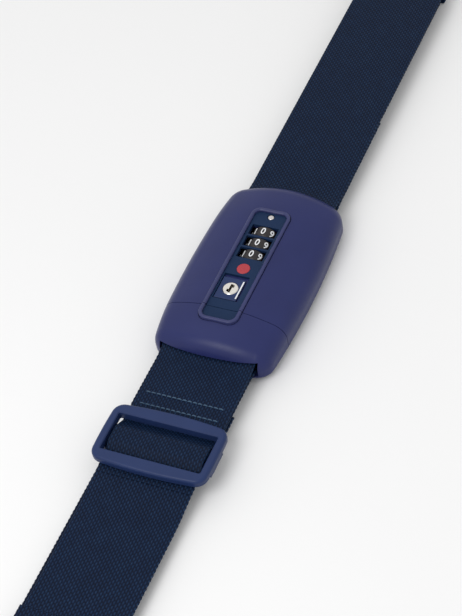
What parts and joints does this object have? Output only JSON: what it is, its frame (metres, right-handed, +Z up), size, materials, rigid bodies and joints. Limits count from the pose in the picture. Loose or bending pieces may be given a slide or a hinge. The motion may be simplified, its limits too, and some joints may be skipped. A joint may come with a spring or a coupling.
{
  "type": "luggage strap",
  "caption": "Flat luggage strap with a combination and key lock buckle, a tri-glide length adjuster and ribbed woven webbing, laid out closed.",
  "frame": {"origin": "middle of the footprint, on the surface the strap lies on", "axes": "+X along the strap towards the lock end, +Y across the webbing, +Z up out of the lock's panel"},
  "size_m": [0.612, 0.0684, 0.0237],
  "materials": {
    "shell_plastic": "soft satin moulded",
    "panel_plastic": "fine matt inset panel",
    "rim_plastic": "satin raised rim",
    "dial_plastic": "matt black wheel, white numbers",
    "clutch_plastic": "natural moulded",
    "slider_plastic": "satin moulded",
    "chassis_plastic": "moulded",
    "mark_paint": "white filled line",
    "badge_enamel": "smooth enamel",
    "key_metal": "satin nickel plated",
    "button_metal": "satin nickel plated",
    "steel": "plain drawn",
    "spring_steel": "bright spring steel",
    "brass_parts": "turned",
    "webbing": "ribbed polyester webbing",
    "thread": "light blue sewing thread"
  },
  "bodies": {
    "lock_half": {"lock_top_shell": "shell_plastic", "lock_base_shell": "shell_plastic", "lock_screws": "steel", "lock_webbing_bar": "steel", "lock_panel_bezel": "rim_plastic", "lock_panel_insert": "panel_plastic", "panel_badge": "badge_enamel", "lock_chassis": "chassis_plastic", "dial_spindle": "steel", "dial_detent_spring": "spring_steel", "latch_spring": "spring_steel", "ejector_springs": "spring_steel", "ejector_stops": "chassis_plastic", "release_spring": "spring_steel", "reset_spring": "spring_steel", "strap_lock_end": "webbing", "strap_hank": "webbing", "strap_bottom_run": "webbing", "strap_end_fold": "webbing"},
    "tongue_half": {"tongue_top_shell": "shell_plastic", "tongue_base_shell": "shell_plastic", "tongue_screws": "steel", "tongue_webbing_bar": "steel", "tongue_panel_bezel": "rim_plastic", "tongue_panel_insert": "panel_plastic", "tongue_prongs": "chassis_plastic", "strap_tongue_loop": "webbing", "strap_lower_run": "webbing"},
    "adjuster": {"triglide_adjuster": "slider_plastic", "strap_adjuster_run": "webbing", "strap_sewn_end": "webbing", "strap_stitching": "thread"},
    "dial_1": {"number_dial_1": "dial_plastic", "dial_clutch_1": "clutch_plastic"},
    "dial_2": {"number_dial_2": "dial_plastic", "dial_clutch_2": "clutch_plastic"},
    "dial_3": {"number_dial_3": "dial_plastic", "dial_clutch_3": "clutch_plastic"},
    "release": {"release_slide": "slider_plastic", "release_slide_mark": "mark_paint", "key_cylinder_housing": "brass_parts", "latch_driver": "chassis_plastic"},
    "key_plug": {"key_cylinder_plug": "key_metal", "key_retaining_clip": "spring_steel", "key_cam": "brass_parts"},
    "reset": {"reset_button": "button_metal"}
  },
  "joints": [
    {"name": "tongue_slide", "type": "slide", "parent": "lock_half", "child": "tongue_half", "axis": [1, 0, 0], "range_m": [-0.024, 0], "deforming": ["strap_end_fold", "latch_spring", "ejector_springs"]},
    {"name": "adjuster_slide", "type": "slide", "parent": "tongue_half", "child": "adjuster", "axis": [1, 0, 0], "range_m": [-0.025, 0], "deforming": ["strap_lower_run", "strap_tongue_loop"]},
    {"name": "dial_1_turn", "type": "hinge", "parent": "lock_half", "child": "dial_1", "pos_m": [-0.0521, 0, 0.015], "axis": [1, 0, 0], "continuous": true},
    {"name": "dial_2_turn", "type": "hinge", "parent": "lock_half", "child": "dial_2", "pos_m": [-0.0602, 0, 0.015], "axis": [1, 0, 0], "continuous": true},
    {"name": "dial_3_turn", "type": "hinge", "parent": "lock_half", "child": "dial_3", "pos_m": [-0.0683, 0, 0.015], "axis": [1, 0, 0], "continuous": true},
    {"name": "release_slide_travel", "type": "slide", "parent": "lock_half", "child": "release", "axis": [1, 0, 0], "range_m": [0, 0.0018], "stiffness_N_per_m": 600, "springref_m": -0.001, "deforming": ["latch_spring", "release_spring"]},
    {"name": "key_turn", "type": "hinge", "parent": "release", "child": "key_plug", "pos_m": [-0.0928, 0.0012, 0], "axis": [0, 0, 1], "range_deg": [0, 90]},
    {"name": "reset_press", "type": "slide", "parent": "lock_half", "child": "reset", "axis": [0, 0, 1], "range_m": [-0.0012, 0], "stiffness_N_per_m": 400, "springref_m": 0.001, "deforming": ["reset_spring"]}
  ]
}
